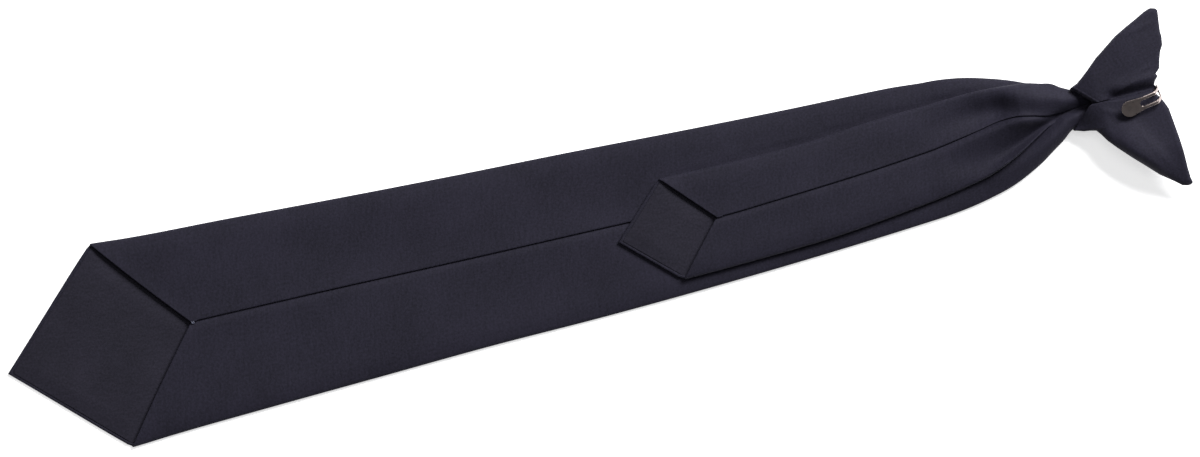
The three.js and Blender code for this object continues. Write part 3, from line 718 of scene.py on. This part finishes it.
# The wings. The ends of the knot's band fan out behind the knot as two soft folded flaps of cloth,
# which meet in a crease. The upper one has a narrow hem over the neck and a cut edge by the clip.
# Each outline gives the wing's two edges as they run from the crease to the tip, or back.
wing_base = 10.9
upper_outline = {
    "left": {
        "y": [5.12, 13.6, 15, 16.2, 19, 23.5, 27, 30.6, 33.2, 35.6, 37.7, 38.6],
        "x": [470.4, 461.8, 465, 466.6, 470, 475, 480, 485, 490, 495, 499, 501.6],
    },
    "right": {
        "y": [5.12, 5.9, 7, 8.5, 10.2, 11.4, 12.4, 13.3, 17, 20, 22.5, 26, 28, 32, 35, 37.2, 38.1, 38.6],
        "x": [495.8, 496.9, 496.3, 497, 498.6, 498, 499.2, 500, 501, 502, 503.5, 504, 503.9, 504.3,
              504.7, 504.9, 504.1, 502.4],
    },
}
lower_outline = {
    "left": {
        "y": [-37.4, -36.8, -34, -30.2, -25.2, -20.3, -15, -11.5, -8.3, -6.2, -5.6, -5.3, -4, 4.3, 5.08],
        "x": [500.4, 498.4, 495, 490, 485, 480, 475, 472, 470, 468.4, 466, 463.6, 459.6, 467.6, 469],
    },
    "right": {
        "y": [-37.4, -37, -36.4, -34.5, -30, -23, -17, -10, -4, -1.5, 0.5, 2.6, 5.08],
        "x": [501.6, 502.6, 503, 502.5, 502.2, 502, 501.5, 500.7, 500, 499, 498, 496.6, 495.2],
    },
}


def wing(name, outline, crease, tip, thickness, soft_left, soft_right, droop, shape_top):
    """A closed, softly filled fold of cloth between two edges, from the crease out to its tip. droop
    lowers it, and shape_top adds the crown and the wrinkles of the side that shows."""
    tip_radius = 2.2
    out = (1 - np.cos(np.linspace(0, np.pi, 110))) / 2
    corners = np.array(outline["left"]["y"] + outline["right"]["y"])
    corners = np.clip(corners, min(crease, tip), max(crease, tip))
    y_rows = np.unique(np.concatenate([crease + (tip - crease) * out, corners]))
    if tip < crease:
        y_rows = y_rows[::-1]
    u = (1 - np.cos(np.linspace(0, np.pi, 96))) / 2
    points = np.zeros((len(y_rows), 2 * len(u) - 2, 3))
    for r, y in enumerate(y_rows):
        left = np.interp(y, outline["left"]["y"], outline["left"]["x"])
        right = np.interp(y, outline["right"]["y"], outline["right"]["x"])
        x = left + (right - left) * u
        from_crease, from_tip = abs(y - crease), abs(y - tip)
        crease_radius = 0.3 + 1.6 * smooth(x, 473, 482)
        at_crease = rounded(1 - np.minimum(1, from_crease / crease_radius), 2)
        edge = at_crease * rounded(1 - min(1, from_tip / tip_radius), 2)
        swell_left = rounded(1 - np.minimum(1, (x - left) / soft_left), 2)
        swell_right = rounded(1 - np.minimum(1, (right - x) / soft_right), 2)
        half = thickness / 2 * edge * swell_left * swell_right
        middle = wing_base + thickness / 2 - droop(x, y)
        top = middle + half + shape_top(x, np.full_like(x, y)) * edge * np.minimum(swell_left, swell_right)
        bottom = middle - half
        points[r, : len(u)] = np.stack([x, np.full_like(x, y), top], axis=1)
        points[r, len(u) :] = np.stack([x, np.full_like(x, y), bottom], axis=1)[-2:0:-1]
    flat = points[:, :, :2].copy()
    return cloth_object(name, points, flat, closed=True, tidy=True)


def line_fold(x, y, start, end, height, width):
    """A small straight wrinkle between two points, which fades towards its ends."""
    (x0, y0), (x1, y1) = start, end
    length = math.hypot(x1 - x0, y1 - y0)
    along = ((x - x0) * (x1 - x0) + (y - y0) * (y1 - y0)) / length**2
    off = ((x - x0) * (y1 - y0) - (y - y0) * (x1 - x0)) / length
    return height * bell(off, width) * smooth(along, -0.15, 0.3) * (1 - smooth(along, 0.7, 1.15))


def upper_top(x, y):
    """The upper wing's crown, hem and wrinkles, and the dip into the crease."""
    crown = 1.3 * bell(x - 488, 14) * bell(y - 30, 14)
    hem_line = 470.2 - (y - 5.3) * 8.4 / 8.3
    from_hem = (x - hem_line) * 0.7
    hem = 0.2 * (1 - smooth(from_hem, 0.9, 1.5)) - 0.08 * bell(from_hem - 1.6, 0.4)
    hem = hem * (1 - smooth(y, 12.8, 14.5))
    into_crease = -2.7 * smooth(x, 474.5, 479) * bell(y - 4.9, 2.7)
    wrinkles = (
        line_fold(x, y, (477, 9.2), (498, 10.6), 1.3, 2.4)
        + line_fold(x, y, (479, 6.6), (489, 10.6), 0.4, 0.9)
        + line_fold(x, y, (484, 11), (497, 15.6), 0.35, 1.0)
        + line_fold(x, y, (470, 9), (480, 20), 0.2, 1.6)
        + line_fold(x, y, (489, 30), (502, 33), 0.25, 1.4)
    )
    return crown + hem + into_crease + wrinkles


def lower_top(x, y):
    """The lower wing's crown, which is one long soft ridge, and its wrinkles."""
    crown = line_fold(x, y, (477, -6), (492, -33), 2.4, 6.5)
    wrinkles = (
        line_fold(x, y, (472, 2), (482, -3), 0.3, 1.3)
        + line_fold(x, y, (484, -8), (497, -30), 0.35, 2.0)
    )
    return crown + wrinkles


def upper_droop(x, y):
    """The upper wing sinks towards its tip and over the neck."""
    return 1.6 * smooth(y, 12, 42) + 2.4 * smooth(469 - x, -4, 8)


def lower_droop(x, y):
    """The lower wing sinks towards its tip and beside the knot's mouth."""
    return 4.42 * smooth(-y, 18, 40) + 6.2 * smooth(472 - x, -2, 11) * smooth(-y, -7, 4)


wing_upper = wing(
    "wing_upper_cloth", upper_outline, crease=5.12, tip=38.6, thickness=3.1, soft_left=2.4, soft_right=1.6,
    droop=upper_droop, shape_top=upper_top,
)
wing_lower = wing(
    "wing_lower_cloth", lower_outline, crease=5.08, tip=-37.4, thickness=3.3, soft_left=5.0, soft_right=1.8,
    droop=lower_droop, shape_top=lower_top,
)
for piece, node, flat, area in (
    (wing_upper, "wing_upper", (0.044, 0.034), 0.00100),
    (wing_lower, "wing_lower", (0.044, 0.043), 0.00110),
):
    piece.data.materials.append(bias_twill)
    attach(piece, "root")
    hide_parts(node)


# The clip. One piece of 0.6 mm spring steel, stamped with a round paddle, a window and two arms. Its
# arms are bent down over the knot's top edge, and a plain tongue grips the band under the wings.
clip_sheet = 0.6 * mm
clip_place = ((480.24 + tip_place[0]) * mm, (-1.10 + tip_place[1]) * mm, 17.92 * mm)
clip_roll = math.radians(20)
clip_heading = math.radians(10)
paddle_radius = 3.55 * mm
window_start = 9.6 * mm
arm_start = window_start + 1.2 * mm
arm_length = 15.2 * mm
end_half_width = 2.65 * mm
hair = 0.01 * mm

# The bends as short steps, each with its millimetres along the clip and up from its face
arm_bend = [
    (0.35, -0.06), (0.3, -0.28), (0.35, -0.62), (0.6, -1.1), (0.85, -1.6), (0.2, -0.75), (0.05, -0.79),
    (0, -1.1), (0, -0.9),
]
tongue_bend = [(0, -0.95), (-0.15, -0.5), (-0.45, -0.28), (-0.6, -0.03), (-9.7, 0)]


def select_edges(piece, test):
    """In edit mode, selects only the edges with both ends where the test says."""
    bpy.ops.mesh.select_all(action="DESELECT")
    shape = bmesh.from_edit_mesh(piece.data)
    for edge in shape.edges:
        if all(test(*vertex.co) for vertex in edge.verts):
            edge.select_set(True)
    bmesh.update_edit_mesh(piece.data)


def extrude_by(x, z):
    """Extrudes the selected edges along the clip and up from its face."""
    bpy.ops.mesh.extrude_edges_move(TRANSFORM_OT_translate={"value": (x, 0, z)})


# The paddle, stamped in a shallow dish in three steps
dish_step = -0.04 * mm
bpy.ops.object.select_all(action="DESELECT")
bpy.ops.mesh.primitive_circle_add(vertices=48, radius=paddle_radius, fill_type="NGON")
clip_metal = bpy.context.object
clip_metal.name = "clip_metal"
bpy.ops.object.mode_set(mode="EDIT")
bpy.ops.mesh.select_all(action="SELECT")
bpy.ops.transform.translate(value=(paddle_radius, 0, 0))
for width in (0.5, 0.7, 0.9):
    bpy.ops.mesh.inset(thickness=width * mm, depth=dish_step)

# A tapered neck runs on to the window, from where its sides touch the paddle
bpy.context.tool_settings.mesh_select_mode = (False, True, False)
touch = math.radians(75)
touch_x = paddle_radius * (1 + math.cos(touch))
select_edges(
    clip_metal,
    lambda x, y, z: x > touch_x - hair and math.hypot(x - paddle_radius, y) > paddle_radius - hair,
)
extrude_by(0, 0)
narrowing = end_half_width / (paddle_radius * math.sin(touch))
bpy.ops.transform.resize(value=(0, narrowing, 1), center_override=(window_start, 0, 0))

# The window's near end is round. The neck has an edge for every 7.5 degrees of the paddle's rim.
arm_inner = end_half_width * math.sin(math.radians(30)) / math.sin(touch)
reached = 0
for angle in (22.5, 15, 7.5):
    half = end_half_width * math.sin(math.radians(angle)) / math.sin(touch)
    depth = math.sqrt(arm_inner**2 - half**2)
    select_edges(clip_metal, lambda x, y, z: x > 2 * paddle_radius + hair and abs(y) < half + hair)
    bpy.ops.transform.translate(value=(reached - depth, 0, 0))
    reached = depth

# The arms are the outer parts of the neck's end. They are crowned in three steps, each between two
# shares of the clip's half width.
select_edges(clip_metal, lambda x, y, z: x > window_start - hair and abs(y) > arm_inner - hair)
extrude_by(arm_start - window_start, 0)
extrude_by(arm_length - arm_start, 0)
for inner, outer, lift in ((0.58, 0.97, 0.08), (0.68, 0.93, 0.07), (0.7, 0.85, 0.04)):
    select_edges(
        clip_metal,
        lambda x, y, z: x > arm_start - hair and inner < abs(y) / end_half_width < outer,
    )
    bpy.ops.transform.translate(value=(0, 0, lift * mm))

# The bend over the knot's edge, the bar that joins the arms, and the tongue
select_edges(clip_metal, lambda x, y, z: x > arm_length - hair)
for along, up in arm_bend:
    extrude_by(along * mm, up * mm)
bend_end = arm_length + sum(along for along, up in arm_bend) * mm
bar_low = sum(up for along, up in arm_bend) * mm
bar_high = bar_low - arm_bend[-1][1] * mm
for top in (bar_high, bar_low):
    select_edges(
        clip_metal,
        lambda x, y, z: x > bend_end - hair and z < top + hair and abs(y) < arm_inner + hair,
    )
    if top == bar_high:
        bpy.ops.mesh.edge_face_add()
for along, up in tongue_bend:
    extrude_by(along * mm, up * mm)
bpy.ops.mesh.select_all(action="SELECT")
bpy.ops.mesh.normals_make_consistent(inside=False)
bpy.ops.object.mode_set(mode="OBJECT")

# The sheet gets its thickness and its tumbled edges, and goes to its place on the knot
thickness = clip_metal.modifiers.new("sheet", "SOLIDIFY")
thickness.thickness = clip_sheet
thickness.offset = 0
thickness.use_even_offset = True
edges = clip_metal.modifiers.new("edges", "BEVEL")
edges.width = 0.16 * mm
edges.segments = 3
edges.limit_method = "ANGLE"
edges.angle_limit = math.radians(50)
bpy.ops.object.modifier_apply(modifier="sheet")
bpy.ops.object.modifier_apply(modifier="edges")
bpy.ops.object.shade_smooth_by_angle(angle=math.radians(35))
clip_metal.location = clip_place
clip_metal.rotation_euler = (clip_roll, 0, clip_heading)
bpy.ops.object.transform_apply(location=True, rotation=True, scale=True)

# Steel, bright nickel over a finish brushed lengthwise. It shows a warm grey face that mirrors the
# dark room above, bright edges, and faint dull patches where fingers press. The brushing is 0.1 mm
# wide on the real thing, and is drawn at 0.2 mm.
brush_length, brush_width, patch_size, brush_depth = 4 * mm, 0.2 * mm, 3 * mm, 0.01 * mm
nickel, tree, shader = new_material("nickel_plated_spring_steel")
place = add_node(tree, "ShaderNodeTexCoord")
lengthwise = add_node(
    tree, "ShaderNodeMapping", {},
    {"Rotation": (0, 0, -clip_heading), "Scale": (1 / brush_length, 1 / brush_width, 1 / brush_width)},
    {"Vector": place.outputs["Object"]},
)
brushing = add_node(
    tree, "ShaderNodeTexNoise", {}, {"Scale": 1, "Detail": 2}, {"Vector": lengthwise.outputs["Vector"]}
)
patches = add_node(
    tree, "ShaderNodeTexNoise", {}, {"Scale": 1 / patch_size, "Detail": 3},
    {"Vector": place.outputs["Object"]},
)
tone = two_tone(tree, patches.outputs["Fac"], "aa9d99", "b8aaa6")
tone.color_ramp.elements[0].position = 0.35
tone.color_ramp.elements[1].position = 0.7
worn = weighed(tree, 0.5, brushing.outputs["Fac"], rest_from=patches.outputs["Fac"])
dullness = add_node(
    tree, "ShaderNodeMapRange", {}, {"From Min": 0.5, "From Max": 1, "To Min": 0.25, "To Max": 0.35},
    {"Value": worn},
)
scratches = add_node(
    tree, "ShaderNodeBump", {}, {"Strength": 0.3, "Distance": brush_depth},
    {"Height": brushing.outputs["Fac"]},
)
tree.links.new(tone.outputs["Color"], shader.inputs["Base Color"])
tree.links.new(dullness.outputs["Result"], shader.inputs["Roughness"])
tree.links.new(scratches.outputs["Normal"], shader.inputs["Normal"])
shader.inputs["Metallic"].default_value = 1
clip_metal.data.materials.append(nickel)
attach(clip_metal, "root")
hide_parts("clip")
